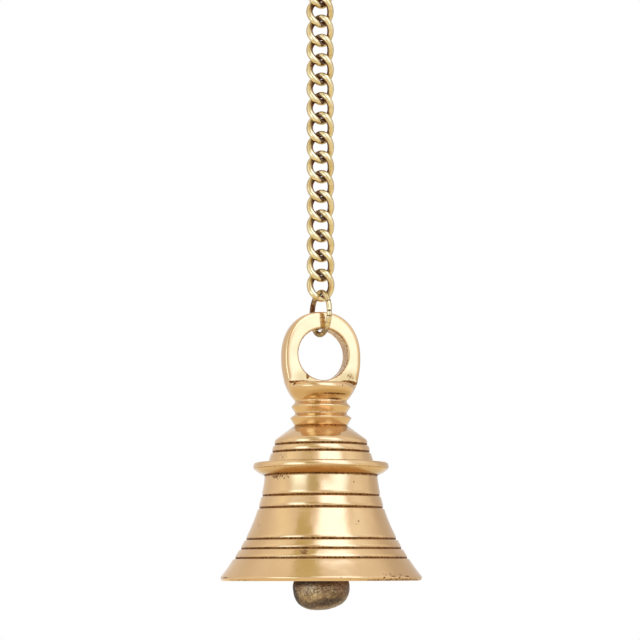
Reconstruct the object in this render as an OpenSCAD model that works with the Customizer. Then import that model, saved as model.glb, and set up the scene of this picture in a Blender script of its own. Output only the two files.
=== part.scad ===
// Hanging brass bell: a turned bell with a screwed-on loop hangs from a jump ring, a twisted curb chain
// and an S-hook. A ball clapper is linked in an eye bolt that holds the loop to the bell's crown.
// Millimetres. Z points up, the front faces -Y, and the origin is the bearing point inside the hook.

/* [Bell] */
// Radius of the mouth at the lip's edge
mouth_r = 39.3; // [37:0.1:43]
// Height of the lip's edge above the flat rim under it
lip_h = 1.5; // [1.2:0.1:2.5]
// Width of the flat rim under the lip
lip_flat = 0.6; // [0.3:0.1:1]
// Radius of the waist just under the flange
waist_r = 21.9; // [20.5:0.1:23]
// Power of the flare from the waist to the lip
flare_power = 2; // [1.7:0.1:2.4]
// Height of the flange's top face above the lip
flange_z = 45.9; // [43:0.1:49]
// Radius of the flange
flange_r = 26.6; // [25:0.1:29]
// Thickness of the flange where it meets the waist
flange_t = 4.8; // [3.6:0.1:5.4]
// Depth of the flange's widest edge below its top face
flange_edge_h = 1.8; // [1:0.1:2.4]
// How far the flange's edge leans out below its top face
flange_lean = 0.7; // [0.2:0.1:1.2]
// Fullness of the flange's underside: less is flatter
flange_fullness = 1.4; // [1.2:0.1:2]
// Radius of the shoulder where it leaves the flange
shoulder_r = 20.8; // [19.5:0.1:22]
// Radius of the shoulder at its upper edge
shoulder_top_r = 18; // [17:0.1:19]
// Height of the shoulder above the flange
shoulder_h = 9.1; // [8:0.1:11]
// Radius of the shoulder's rounded edge
shoulder_edge = 1.8; // [0.8:0.1:2.4]
// Height of the bell from the lip to the loop's seat
bell_h = 60.5; // [58.5:0.1:64]
// Radius of the crown at the loop's seat
crown_r = 10.4; // [9.5:0.1:12]
// Thickness of the wall, measured level
wall = 3.2; // [2.2:0.1:4.2]
// Thickness of the crown at the bolt
crown_t = 8; // [6:0.5:10]
// Turn of the bell and its loop away from the front
bell_turn = 17.5; // [0:0.5:30]

/* [Turned grooves] */
// Depth of each groove
groove_depth = 0.7; // [0.4:0.05:1]
// Height of the lowest groove near the mouth
mouth_groove_z = 8.9; // [6:0.1:10]
// Step between the three grooves near the mouth
mouth_groove_step = 3.65; // [3:0.05:4.5]
// Height of the lower groove of the waist bead
waist_groove_z = 28.3; // [25:0.1:30]
// Height of the waist bead between its two grooves
waist_bead_h = 4.7; // [3.5:0.1:6]
// Height of the lower shoulder groove above the flange
shoulder_groove_h = 4.2; // [3:0.1:4.6]
// Step between the two shoulder grooves
shoulder_groove_step = 2.9; // [2.4:0.1:3.4]

/* [Crown loop] */
// Greatest radius of the egg-shaped loop
loop_r = 15.9; // [14.5:0.1:18]
// Thickness of the loop between its milled flats
loop_t = 7.5; // [6.5:0.5:9]
// Radius of the eye drilled through the loop
loop_eye_r = 10.2; // [9.6:0.1:10.8]
// Chamfer at both rims of the eye
loop_eye_chamfer = 0.4; // [0.2:0.1:0.8]
// Height of the eye's centre above the loop's seat
loop_eye_h = 28; // [27.4:0.1:30]
// Height of the egg's widest place above the loop's seat
loop_wide_h = 27; // [26:0.1:28.5]
// Height of the egg above its widest place
loop_top_h = 18.1; // [17:0.1:20]
// Height of the egg's lower half, if it ran on through the neck
loop_low_h = 21.4; // [20:0.1:23]
// Fullness of the egg: 2 is an ellipse, more is squarer
loop_fullness = 2.2; // [2:0.1:2.5]
// Height of the ledge under the flats, above the seat
loop_ledge_h = 16.7; // [15:0.1:17.2]
// Radius of the neck in the valleys between its rings
neck_r = 10; // [9:0.1:10.5]
// Radius of the lower V-ring
low_ring_r = 12.1; // [11:0.1:13]
// Radius of the upper V-ring
high_ring_r = 11.7; // [11:0.1:13]
// Height of the lower V-ring's edge above the seat
low_ring_h = 3; // [2:0.1:3.6]
// Height of the valley between the V-rings above the lower edge
valley_step = 1.7; // [1.2:0.1:2.2]
// Height of the upper V-ring's edge above the valley
high_ring_step = 2.7; // [2:0.1:3.2]

/* [Jump ring] */
// Outer diameter of the jump ring
ring_d = 18.9; // [17.5:0.1:20.5]
// Diameter of the jump ring's wire
ring_wire_d = 2.1; // [1.7:0.1:2.4]
// Saw cut where the ring was opened
ring_cut = 0.25; // [0.1:0.05:0.5]
// Turn of the ring's front edge away from straight ahead
ring_turn = 24; // [10:1:35]

/* [Chain] */
// Diameter of the chain's wire
wire_d = 2.6; // [2.2:0.05:2.7]
// Outer width of a link
link_w = 11; // [10.6:0.1:12]
// Outer length of a link
link_l = 13.27; // [13:0.01:14.5]
// Fullness of the oval: 2 is an ellipse, more is squarer
link_fullness = 2.3; // [2.2:0.1:3]
// Twist of a link's bow from its middle to each end
link_twist = 45; // [43:1:50]

/* [Hook] */
// Diameter of the hook's wire
hook_wire_d = 3; // [2.4:0.1:3.4]
// Inner radius of the open hook
hook_r = 8; // [7:0.5:12]
// Inner radius of the closed eye below
hook_eye_r = 4.2; // [3.8:0.1:5.5]
// How far the open end comes down past the hook's middle
hook_tip_angle = 20; // [0:5:40]

/* [Clapper] */
// Diameter of the clapper ball
ball_d = 22.2; // [19:0.1:24]
// Height of the flattened ball
ball_h = 17; // [14:0.5:20]
// Fullness of the ball: 2 is an ellipse, more is squarer
ball_fullness = 2.3; // [2:0.1:2.6]
// Depth of the ball's centre below the lip
ball_drop = 2.8; // [0:0.1:5]
// Diameter of the clapper rod
rod_d = 4; // [3:0.1:4.6]
// Depth of the rod's end below the top of the ball
rod_depth = 9; // [6:0.5:11]
// Inner radius of the rod's eye
rod_eye_r = 2.5; // [2.3:0.1:3.2]
// Diameter of the wire of both eyes
eye_wire_d = 2.4; // [2:0.1:2.5]

/* [Fixings] */
// Diameter of the eye bolt
bolt_d = 6; // [5:0.5:7]
// Depth of the bolt in the loop
bolt_depth = 10; // [6:0.5:14]
// Inner radius of the bolt's eye
bolt_eye_r = 2.5; // [2.3:0.1:3.2]
// Length of bare bolt between the nut and the eye
bolt_bare = 1; // [0.5:0.1:3]
// Diameter of the washer
washer_d = 16; // [13:0.5:18]
// Thickness of the washer
washer_t = 1.5; // [1:0.1:2.5]
// Width of the nut across its flats
nut_af = 10; // [9:0.5:12]
// Height of the nut
nut_h = 5; // [4:0.5:6]

/* [Clearances] */
// Gap where one wire hangs on another
hang_gap = 0.12; // [0.1:0.01:0.2]
// Gap between the jump ring and the rims of the loop's eye
rim_gap = 0.16; // [0.1:0.01:0.25]
// Gap around a screwed shank
screw_gap = 0.1; // [0.05:0.01:0.2]
// Length of the bolt hole past the bolt's end
drill_past = 1; // [0.5:0.1:2]
// Flat of the ceiling left bare around the washer
washer_margin = 1; // [0.5:0.1:1.5]

/* [Hidden] */
$fn = 64;
link_count = 16;
link_rings = 24;
link_sides = 12;
curve_steps = 16;
arc_steps = 10;
full_turn = 360;
eps = 0.01;
brass = "#d9b44a";
antique_brass = "#b8923c";
bronze = "#6b4a30";
// Hook: both arcs meet on the chain's line, and the eye closes against the hook's bend
hook_mid_r = hook_r + hook_wire_d / 2;
hook_eye_mid_r = hook_eye_r + hook_wire_d / 2;
hook_z = -hook_r;
hook_eye_z = hook_z - hook_mid_r - hook_eye_mid_r;
hook_eye_sweep = 300;
hook_seat_z = hook_eye_z - hook_eye_mid_r;
// Chain: centre line of a link, and where the links hang
half_w = (link_w - wire_d) / 2;
half_l = (link_l - wire_d) / 2;
pitch = link_l - 2 * wire_d - hang_gap;
first_link_z = hook_seat_z + (hook_wire_d + wire_d) / 2 + hang_gap - half_l;
function link_z(i) = first_link_z - (i - 1) * pitch;
chain_seat_z = link_z(link_count) - half_l;
// Jump ring: hangs on the last link, and holds the loop at the rims of its eye
ring_mid_r = (ring_d - ring_wire_d) / 2;
ring_in_r = ring_mid_r - ring_wire_d / 2;
ring_z = chain_seat_z + (wire_d + ring_wire_d) / 2 + hang_gap - ring_mid_r;
rim_half_t = loop_t / 2 - loop_eye_chamfer;
rim_reach = rim_half_t / cos(ring_turn - bell_turn);
rim_side = rim_half_t * tan(ring_turn - bell_turn);
rim_drop = loop_eye_r - sqrt(pow(loop_eye_r, 2) - pow(rim_side, 2));
loop_eye_top_z = ring_z - sqrt(pow(ring_in_r - rim_gap, 2) - pow(rim_reach, 2)) + rim_drop;
// Bell: the loop's eye, the loop's seat and the lip follow from the ring down
loop_eye_z = loop_eye_top_z - loop_eye_r;
seat_z = loop_eye_z - loop_eye_h;
lip_z = seat_z - bell_h;
flange_low_z = flange_z - flange_t;
flange_edge_z = flange_z - flange_edge_h;
shoulder_z = flange_z + shoulder_h;
ceiling_z = bell_h - crown_t;
ceiling_r = washer_d / 2 + washer_margin;
function flare_r(z) =
    waist_r + (mouth_r - waist_r) * pow(max(0, (flange_z - z) / (flange_z - lip_h)), flare_power);
function flare_tilt(z) = atan((flare_r(z + eps) - flare_r(z)) / eps);
function shoulder_r_at(z) =
    shoulder_r + (shoulder_top_r - shoulder_r) * (z - flange_z) / shoulder_h;
// Clapper: the bolt's eye hangs under the nut, the rod's eye hangs in it
eye_wire_r = eye_wire_d / 2;
bolt_eye_mid_r = bolt_eye_r + eye_wire_r;
rod_eye_mid_r = rod_eye_r + eye_wire_r;
nut_low_z = ceiling_z - washer_t - nut_h;
bolt_eye_z = nut_low_z - bolt_bare - eye_wire_r - bolt_eye_mid_r;
pivot_z = bolt_eye_z - bolt_eye_mid_r;
rod_eye_z = pivot_z + eye_wire_d + hang_gap - rod_eye_mid_r;
ball_z = -ball_drop;
rod_end_z = ball_z + ball_h / 2 - rod_depth;

function link_name(i) = str("chain_link_", i < 10 ? "0" : "", i);

// Share of the radius at a sine or cosine v: 2 is an ellipse, more is squarer, less is flatter
function full(v, fullness) = sign(v) * pow(abs(v), 2 / fullness);

// Points on an arc about c, from angle a to angle b; r is the level and h the upright radius
function arc(c, r, h, a, b, steps, fullness = 2) = [
    for (i = [0:steps])
        let (t = a + (b - a) * i / steps)
        c + [r * full(cos(t), fullness), h * full(sin(t), fullness)]
];

// Part of a wire ring in the XZ plane, from angle a to angle b
module wire_arc(mid_r, wire_r, a, b) {
    rotate([90, 0, 0])
        rotate([0, 0, a])
            rotate_extrude(angle = b - a)
                translate([mid_r, 0])
                    circle(wire_r);
}

// Whole wire ring in the XZ plane
module wire_ring(mid_r, wire_r) {
    rotate([90, 0, 0])
        rotate_extrude()
            translate([mid_r, 0])
                circle(wire_r);
}

// Places a piece of the bell: its own Z is zero at the lip, and its front is turned a little
module at_bell(z = 0) {
    translate([0, 0, lip_z + z])
        rotate([0, 0, bell_turn])
            children();
}

// S-hook: open above, closed to an eye below, in the plane of the links' lower bows
module hang_hook() {
    color(antique_brass)
        rotate([0, 0, link_twist]) {
            translate([0, 0, hook_z])
                wire_arc(hook_mid_r, hook_wire_d / 2, -90, 180 + hook_tip_angle);
            translate([0, 0, hook_eye_z])
                wire_arc(hook_eye_mid_r, hook_wire_d / 2, 90, 90 + hook_eye_sweep);
        }
}

// Centre line of a link: a full oval, turned about the chain's length in step with its height
function bulge(v) = full(v, link_fullness);
function link_turn(t) = -link_twist * bulge(sin(t));
function link_point(t) =
    let (x = half_w * bulge(cos(t)), turn = link_turn(t))
    [x * cos(turn), x * sin(turn), half_l * bulge(sin(t))];

// Frame of the wire at t: its direction, and two axes across it
function unit(v) = v / norm(v);
function link_along(t) = unit(link_point(t + 1) - link_point(t - 1));
function link_across(t) =
    let (along = link_along(t), flat = [-sin(link_turn(t)), cos(link_turn(t)), 0])
    unit(flat - (flat * along) * along);
function wire_point(t, s) =
    let (across = link_across(t), out = cross(across, link_along(t)))
    link_point(t) + wire_d / 2 * (cos(s) * across + sin(s) * out);

// One closed link, swept as rings of wire points that are joined by triangles
module chain_link(i) {
    points = [
        for (k = [0:link_rings - 1], j = [0:link_sides - 1])
            wire_point(full_turn * k / link_rings, full_turn * j / link_sides)
    ];
    function at(k, j) = (k % link_rings) * link_sides + j % link_sides;
    faces = [
        for (k = [0:link_rings - 1], j = [0:link_sides - 1], half = [0, 1])
            half == 0
                ? [at(k, j), at(k, j + 1), at(k + 1, j + 1)]
                : [at(k, j), at(k + 1, j + 1), at(k + 1, j)]
    ];
    color(antique_brass)
        translate([0, 0, link_z(i)])
            polyhedron(points, faces);
}

// Jump ring, with its saw cut at the front
module jump_ring() {
    half_cut = asin(ring_cut / 2 / ring_mid_r);
    color(antique_brass)
        translate([0, 0, ring_z])
            rotate([0, 0, ring_turn - 90])
                wire_arc(ring_mid_r, ring_wire_d / 2, half_cut, full_turn - half_cut);
}

// Turned outline of the neck and the egg above it, from the seat up
module loop_outline() {
    valley_h = low_ring_h + valley_step;
    egg_from = -acos(pow(neck_r / loop_r, loop_fullness / 2));
    polygon(concat(
        [
            [0, 0],
            [crown_r, 0],
            [low_ring_r, low_ring_h],
            [neck_r, valley_h],
            [high_ring_r, valley_h + high_ring_step]
        ],
        arc([0, loop_wide_h], loop_r, loop_low_h, egg_from, 0, curve_steps, loop_fullness),
        arc([0, loop_wide_h], loop_r, loop_top_h, 90 / curve_steps, 90, curve_steps - 1, loop_fullness)
    ));
}

// Eye through the loop, along Y, with chamfered rims
module loop_eye() {
    rim_r = loop_eye_r + loop_eye_chamfer;
    rotate([90, 0, 0]) {
        cylinder(h = loop_t + 2 * eps, r = loop_eye_r, center = true);
        for (side = [0, 1])
            mirror([0, 0, side])
                translate([0, 0, rim_half_t])
                    cylinder(h = loop_eye_chamfer + eps, r1 = loop_eye_r, r2 = rim_r + eps);
    }
}

// Loop with its neck: turned, milled flat on both sides, drilled, and tapped for the bolt
module crown_loop() {
    color(brass)
        at_bell(bell_h)
            difference() {
                rotate_extrude()
                    loop_outline();
                for (side = [-1, 1])
                    translate([0, side * (loop_t + loop_r) / 2, loop_ledge_h + loop_r + loop_top_h])
                        cube([3 * loop_r, loop_r, 2 * (loop_r + loop_top_h)], center = true);
                translate([0, 0, loop_eye_h])
                    loop_eye();
                translate([0, 0, -eps])
                    cylinder(h = bolt_depth + drill_past + eps, d = bolt_d + 2 * screw_gap);
            }
}

// Turned outline of the bell's outside, from the lip to the loop's seat
function bell_outside() =
    let (
        rim_r = flare_r(0) - wall + lip_flat,
        corner_r = flare_r(flange_low_z),
        slope = atan2(bell_h - shoulder_z, shoulder_top_r - crown_r)
    )
    concat(
        arc([rim_r, lip_h], mouth_r - rim_r, lip_h, -90, 0, arc_steps / 2),
        [for (i = [1:curve_steps])
            let (z = lip_h + (flange_low_z - lip_h) * i / curve_steps) [flare_r(z), z]],
        arc([corner_r, flange_edge_z], flange_r - corner_r, flange_edge_z - flange_low_z,
            90 / arc_steps - 90, 0, arc_steps - 1, flange_fullness),
        [[flange_r - flange_lean, flange_z], [shoulder_r, flange_z]],
        arc([shoulder_r_at(shoulder_z) - shoulder_edge, shoulder_z - shoulder_edge],
            shoulder_edge, shoulder_edge, 0, 90 - slope, arc_steps),
        [[crown_r, bell_h]]
    );

// Turned outline of the bell's inside, from the flat ceiling down to the mouth
function bell_inside() =
    let (
        dome_r = flare_r(flange_low_z) - wall,
        dome_to = acos(ceiling_r / dome_r),
        dome_h = (ceiling_z - flange_low_z) / sin(dome_to)
    )
    concat(
        [[0, bell_h], [0, ceiling_z]],
        arc([0, flange_low_z], dome_r, dome_h, dome_to, 0, curve_steps),
        [for (i = [1:curve_steps])
            let (z = flange_low_z * (1 - i / curve_steps)) [flare_r(z) - wall, z]]
    );

// V-groove in the outline, square to the surface there
module groove(r, z, tilt) {
    translate([r, z])
        rotate(45 + tilt)
            square(groove_depth * sqrt(2), center = true);
}

module bell_body() {
    shoulder_tilt = atan2(shoulder_h, shoulder_r - shoulder_top_r) - 90;
    color(brass)
        at_bell()
            difference() {
                rotate_extrude()
                    difference() {
                        polygon(concat(bell_outside(), bell_inside()));
                        for (i = [0:2]) {
                            z = mouth_groove_z + i * mouth_groove_step;
                            groove(flare_r(z), z, -flare_tilt(z));
                        }
                        for (z = [waist_groove_z, waist_groove_z + waist_bead_h])
                            groove(flare_r(z), z, -flare_tilt(z));
                        for (i = [0:1]) {
                            z = flange_z + shoulder_groove_h + i * shoulder_groove_step;
                            groove(shoulder_r_at(z), z, shoulder_tilt);
                        }
                    }
                translate([0, 0, ceiling_z - eps])
                    cylinder(h = crown_t + 2 * eps, d = bolt_d + 2 * screw_gap);
            }
}

module crown_washer() {
    color(antique_brass)
        at_bell(ceiling_z - washer_t)
            difference() {
                cylinder(h = washer_t, d = washer_d);
                translate([0, 0, -eps])
                    cylinder(h = washer_t + 2 * eps, d = bolt_d + 2 * screw_gap);
            }
}

module lock_nut() {
    color(antique_brass)
        at_bell(nut_low_z)
            difference() {
                cylinder(h = nut_h, r = nut_af / sqrt(3), $fn = 6);
                translate([0, 0, -eps])
                    cylinder(h = nut_h + 2 * eps, d = bolt_d + 2 * screw_gap);
            }
}

// Bolt with an eye below, in the plane of the loop's eye
module eye_bolt() {
    low_z = bolt_eye_z + bolt_eye_mid_r;
    color(antique_brass)
        at_bell() {
            translate([0, 0, low_z])
                cylinder(h = bell_h + bolt_depth - low_z, d = bolt_d);
            translate([0, 0, bolt_eye_z])
                rotate([0, 0, 90])
                    wire_ring(bolt_eye_mid_r, eye_wire_r);
        }
}

// Rod with an eye above, linked across the bolt's eye
module clapper_rod() {
    top_z = rod_eye_z - rod_eye_mid_r;
    color(bronze)
        at_bell() {
            translate([0, 0, rod_end_z])
                cylinder(h = top_z - rod_end_z, d = rod_d);
            translate([0, 0, rod_eye_z])
                wire_ring(rod_eye_mid_r, eye_wire_r);
        }
}

// Flattened ball, drilled from above for the rod
module clapper_ball() {
    color(bronze)
        at_bell()
            difference() {
                translate([0, 0, ball_z])
                    rotate_extrude()
                        polygon(arc([0, 0], ball_d / 2, ball_h / 2, -90, 90, 2 * curve_steps,
                                    ball_fullness));
                translate([0, 0, rod_end_z])
                    cylinder(h = rod_depth + eps, d = rod_d + 2 * screw_gap);
            }
}

hang_hook();
for (i = [1:link_count])
    chain_link(i);
jump_ring();
crown_loop();
bell_body();
crown_washer();
lock_nut();
eye_bolt();
clapper_rod();
clapper_ball();
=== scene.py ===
"""Polished brass hanging bell on a twisted curb chain, in a white studio.

Lengths are in metres, in the frame of the CAD model: Z is up, the front faces -Y, and the origin is the
bearing point inside the hook. Heights on the bell are measured from its lip. Only the tables of marks, such
as pits and stains, are in millimetres.
"""
import math

import bmesh
import bpy
import numpy as np
from mathutils import Matrix, Quaternion, Vector


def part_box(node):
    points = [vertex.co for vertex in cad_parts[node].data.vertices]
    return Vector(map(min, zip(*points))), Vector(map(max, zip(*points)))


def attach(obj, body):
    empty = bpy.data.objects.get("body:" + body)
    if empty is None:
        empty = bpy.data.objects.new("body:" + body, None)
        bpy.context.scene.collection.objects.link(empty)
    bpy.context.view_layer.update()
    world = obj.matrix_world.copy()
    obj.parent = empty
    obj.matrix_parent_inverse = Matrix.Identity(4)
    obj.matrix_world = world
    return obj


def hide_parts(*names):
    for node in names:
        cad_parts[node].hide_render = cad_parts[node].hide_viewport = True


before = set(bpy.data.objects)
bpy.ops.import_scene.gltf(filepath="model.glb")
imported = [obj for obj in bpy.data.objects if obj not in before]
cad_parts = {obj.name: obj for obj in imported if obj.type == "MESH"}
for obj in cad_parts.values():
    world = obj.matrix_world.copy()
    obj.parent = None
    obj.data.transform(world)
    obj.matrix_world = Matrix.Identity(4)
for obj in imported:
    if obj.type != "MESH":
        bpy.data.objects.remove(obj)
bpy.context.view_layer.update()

MM = 0.001
EPS = 0.001 * MM

# Sizes of the turned bell, heights from the lip
MOUTH_R = 39.3 * MM
LIP_H = 1.5 * MM
LIP_FLAT = 0.6 * MM
LIP_FULLNESS = 2.8
WAIST_R = 21.9 * MM
FLARE_POWER = 2
FLANGE_Z = 45.9 * MM
FLANGE_R = 26.6 * MM
FLANGE_LOW_Z = 41.1 * MM
FLANGE_EDGE_Z = 44.1 * MM
FLANGE_RIM = 0.9 * MM
RIM_FULLNESS = 2.3
FLANGE_FULLNESS = 1.4
FLANGE_CUT = (43.7 * MM, 0.2 * MM, 0.25 * MM)
SHOULDER_R = 20.8 * MM
SHOULDER_TOP_R = 18 * MM
SHOULDER_H = 9.1 * MM
SHOULDER_EDGE = 1.8 * MM
BELL_H = 60.5 * MM
CROWN_R = 10.4 * MM
WALL = 3.2 * MM
CEILING_Z = 52.5 * MM
CEILING_R = 9 * MM
BELL_TURN = math.radians(17.5)
GROOVE_DEPTH = 0.65 * MM
GROOVE_HALF_W = 0.65 * MM
GROOVE_ROUNDS = (0.9 * MM, 0.1 * MM, 0.2 * MM)
LIP_EDGE_ROUND = 0.22 * MM
MOUTH_GROOVES = [8.9 * MM, 12.55 * MM, 16.2 * MM]
WAIST_GROOVES = [28.3 * MM, 33 * MM]
SHOULDER_GROOVES = [50.1 * MM, 53 * MM]

# Crown loop, heights from its seat on the bell
LOOP_R = 15.9 * MM
LOOP_T = 7.5 * MM
LOOP_FLAT_R = 120 * MM
LOOP_EYE_R = 10.2 * MM
LOOP_EYE_CHAMFER = 0.4 * MM
LOOP_EYE_H = 28 * MM
LOOP_WIDE_H = 27 * MM
LOOP_TOP_H = 18.1 * MM
LOOP_LOW_H = 21.4 * MM
LOOP_FULLNESS = 2.2
LOOP_LEDGE_H = 16.7 * MM
LEDGE_RIM_R = 2 * MM
LOOP_VOXEL = 0.26 * MM
FLAT_ROUNDS = 26
OUTER_EDGE_ROUNDS = 100
NECK_R = 10 * MM
LOW_RING = (12.1 * MM, 3 * MM)
VALLEY_H = 4.7 * MM
COLLAR_H = 9.535 * MM
HIGH_RING = (11.7 * MM, 7.4 * MM)

# Wire pieces
RING_MID_R = 8.4 * MM
RING_WIRE_R = 1.05 * MM
RING_CUT = 0.25 * MM
RING_END_ROUND = 0.15 * MM
RING_TURN = math.radians(24)
LINK_COUNT = 16
LINK_WIRE_R = 1.3 * MM
LINK_HALF_W = 4.2 * MM
LINK_HALF_L = 5.335 * MM
LINK_FULLNESS = 2.3
LINK_TWIST = math.radians(45)
LINK_PITCH = 7.95 * MM
HOOK_WIRE_R = 1.5 * MM
HOOK_MID_R = 9.5 * MM
HOOK_TIP = math.radians(20)
HOOK_EYE_MID_R = 5.7 * MM
HOOK_EYE_SWEEP = math.radians(300)
HOOK_END_ROUND = 0.7 * MM
WIRE_SMOOTH_ANGLE = math.radians(50)

# Clapper and its fixings, heights from the lip
BALL_R = 11.1 * MM
BALL_H = 17 * MM
BALL_FULLNESS = 2.3
BALL_LEAN = math.radians(-7)
BALL_Z = -2.8 * MM
ROD_R = 2 * MM
ROD_END_Z = -3.3 * MM
ROD_EYE_Z = 35.22 * MM
EYE_MID_R = 3.7 * MM
EYE_WIRE_R = 1.2 * MM
SHANK_END_ROUND = 0.4 * MM
SHANK_VOXEL = 0.22 * MM
BOLT_R = 3 * MM
BOLT_TOP_Z = 70.5 * MM
BOLT_EYE_Z = 40.1 * MM
HOLE_R = BOLT_R + 0.1 * MM
WASHER_R = 8 * MM
WASHER_T = 1.5 * MM
WASHER_ROUNDS = {0: 0.1 * MM, 1: 0.35 * MM, 2: 0.35 * MM, 3: 0.1 * MM}
NUT_R = 5.7735 * MM
NUT_H = 5 * MM
NUT_EDGE = 0.35 * MM

# Places along the axis
LIP_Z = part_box("bell_body")[0].z
SEAT_Z = LIP_Z + BELL_H
RING_Z = sum(v.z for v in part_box("jump_ring")) / 2
FIRST_LINK_Z = sum(v.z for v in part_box("chain_link_01")) / 2
HOOK_Z = -8 * MM
HOOK_EYE_Z = HOOK_Z - HOOK_MID_R - HOOK_EYE_MID_R


# Modelling by hand


def deselect_all():
    if bpy.context.object and bpy.context.object.mode != "OBJECT":
        bpy.ops.object.mode_set(mode="OBJECT")
    bpy.ops.object.select_all(action="DESELECT")


def pick(*objs):
    """Selects these objects alone and makes the first one active."""
    deselect_all()
    for obj in objs:
        obj.select_set(True)
    bpy.context.view_layer.objects.active = objs[0]


def new_shape(name, operator, **settings):
    """Adds a primitive under this name, with nothing else selected."""
    deselect_all()
    operator(**settings)
    obj = bpy.context.object
    obj.name = name
    obj.data.name = name
    return obj


def edit(obj):
    pick(obj)
    bpy.ops.object.mode_set(mode="EDIT")
    bpy.ops.mesh.select_mode(type="VERT")


def leave_edit():
    bpy.ops.object.mode_set(mode="OBJECT")


def select_where(obj, test, kind="VERT"):
    """In edit mode, selects the vertices, edges or faces that pass the test."""
    bpy.ops.mesh.select_mode(type=kind)
    bpy.ops.mesh.select_all(action="DESELECT")
    mesh = bmesh.from_edit_mesh(obj.data)
    for item in {"VERT": mesh.verts, "EDGE": mesh.edges, "FACE": mesh.faces}[kind]:
        if test(item):
            item.select_set(True)
    mesh.select_flush_mode()
    bmesh.update_edit_mesh(obj.data)


def select_everything():
    bpy.ops.mesh.select_all(action="SELECT")


def close_seams():
    """In edit mode, merges doubled vertices and turns the faces outwards."""
    select_everything()
    bpy.ops.mesh.remove_doubles(threshold=EPS)
    bpy.ops.mesh.normals_make_consistent(inside=False)


def spin(steps, angle, center=(0, 0, 0), axis=(0, 1, 0)):
    bpy.ops.mesh.spin(steps=steps, angle=angle, center=center, axis=axis)


def apply_place(obj):
    pick(obj)
    bpy.ops.object.transform_apply(location=True, rotation=True, scale=True)


def modify(obj, kind, **settings):
    """Adds a modifier and applies it."""
    pick(obj)
    modifier = obj.modifiers.new(kind.lower(), kind)
    for key, value in settings.items():
        setattr(modifier, key, value)
    bpy.ops.object.modifier_apply(modifier=modifier.name)


def cut_away(obj, tool):
    """Cuts the tool's shape out of the object and removes the tool."""
    modify(obj, "BOOLEAN", operation="DIFFERENCE", object=tool, solver="EXACT")
    pick(tool)
    bpy.ops.object.delete()


def smooth_all(obj, angle=None):
    pick(obj)
    if angle is None:
        bpy.ops.object.shade_smooth()
    else:
        bpy.ops.object.shade_smooth_by_angle(angle=angle)


def set_down(obj, z=0.0, turn=0.0, angle=None):
    """Puts a finished piece at its height and turn, with its place in its mesh, and shades it smooth."""
    obj.location.z = z
    obj.rotation_euler.z = turn
    apply_place(obj)
    smooth_all(obj, angle)
    return obj


def set_wear(obj, name, values):
    """Stores one number per vertex, or the same number on all of them, for the materials to read."""
    layer = obj.data.attributes.new(name, "FLOAT", "POINT")
    everywhere = np.broadcast_to(np.asarray(values, np.float32), len(obj.data.vertices))
    layer.data.foreach_set("value", np.ascontiguousarray(everywhere))


def corners(obj):
    place = np.zeros(len(obj.data.vertices) * 3, np.float32)
    obj.data.vertices.foreach_get("co", place)
    return place.reshape(-1, 3).astype(float)


def soft_step(value, low, high):
    t = np.clip((value - low) / (high - low), 0, 1)
    return t * t * (3 - 2 * t)


def film(gap, near, far, level=1.0):
    """Strength of a film that gathers at a gap of nought: full up to near, gone at far."""
    return level * (1 - soft_step(gap, near, far))


def spots(across, z, marks):
    """Strength of soft oval spots; each mark is its middle, half of each size and its strength."""
    strength = np.zeros(len(across))
    for a, b, half_a, half_b, level in marks:
        away = np.hypot((across - a) / half_a, (z / MM - b) / half_b)
        strength = np.maximum(strength, film(away, 0.4, 1.0, level))
    return strength


def from_front(place):
    """Azimuth that each place has once the bell is turned, in degrees to the right of the front."""
    turn = np.degrees(np.arctan2(place[:, 0], -place[:, 1]) + BELL_TURN)
    return (turn + 180) % 360 - 180


def turned(name, outline, rounds, steps, closed=True):
    """Lathe work: draws an outline of (radius, height) points, rounds its corners and spins it.

    rounds maps a corner's index in the outline to the length that the rounding takes on each side.
    """
    points = [Vector((r, 0, z)) for r, z in outline]
    obj = new_shape(name, bpy.ops.mesh.primitive_plane_add, size=MM)
    edit(obj)
    select_everything()
    bpy.ops.mesh.merge(type="CENTER")
    bpy.ops.transform.translate(value=points[0])
    for here, there in zip(points, points[1:]):
        bpy.ops.mesh.extrude_vertices_move(TRANSFORM_OT_translate={"value": there - here})
    if closed:
        first, last = points[0], points[-1]
        select_where(obj, lambda v: (v.co - first).length < EPS or (v.co - last).length < EPS)
        bpy.ops.mesh.edge_face_add()
    for size in sorted(set(rounds.values())):
        ends = [points[i] for i, r in rounds.items() if r == size]
        select_where(obj, lambda v: any((v.co - p).length < EPS for p in ends))
        bpy.ops.mesh.bevel(affect="VERTICES", offset=size, segments=5)
    select_everything()
    spin(steps, 2 * math.pi, axis=(0, 0, 1))
    close_seams()
    leave_edit()
    return obj


def full(v, fullness):
    """Share of the radius at a sine or cosine v: 2 is an ellipse, more is squarer, less is flatter."""
    return math.copysign(abs(v) ** (2 / fullness), v)


def arc_points(centre, r, h, start, end, count, fullness=2):
    """Points on an oval arc, in degrees, both ends included."""
    angles = [math.radians(start + (end - start) * i / (count - 1)) for i in range(count)]
    return [
        (centre[0] + r * full(math.cos(a), fullness), centre[1] + h * full(math.sin(a), fullness))
        for a in angles
    ]


# Turned bell

# Clusters of casting pits: azimuth in degrees, height in mm, half of each size, and how thick they lie
BELL_PITS = [
    (-46, 39.8, 16, 1.2, 1.0),
    (-62, 21.3, 6, 2, 0.5),
    (31, 21.5, 5, 2, 0.4),
    (45, 2.4, 14, 1, 0.8),
    (-75, 1.5, 10, 0.9, 0.6),
    (12, 1.0, 8, 0.6, 0.5),
    (-48, 47.6, 9, 1.2, 0.5),
    (140, 30, 25, 4, 0.6),
    (-150, 12, 20, 3, 0.6),
]

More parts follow.
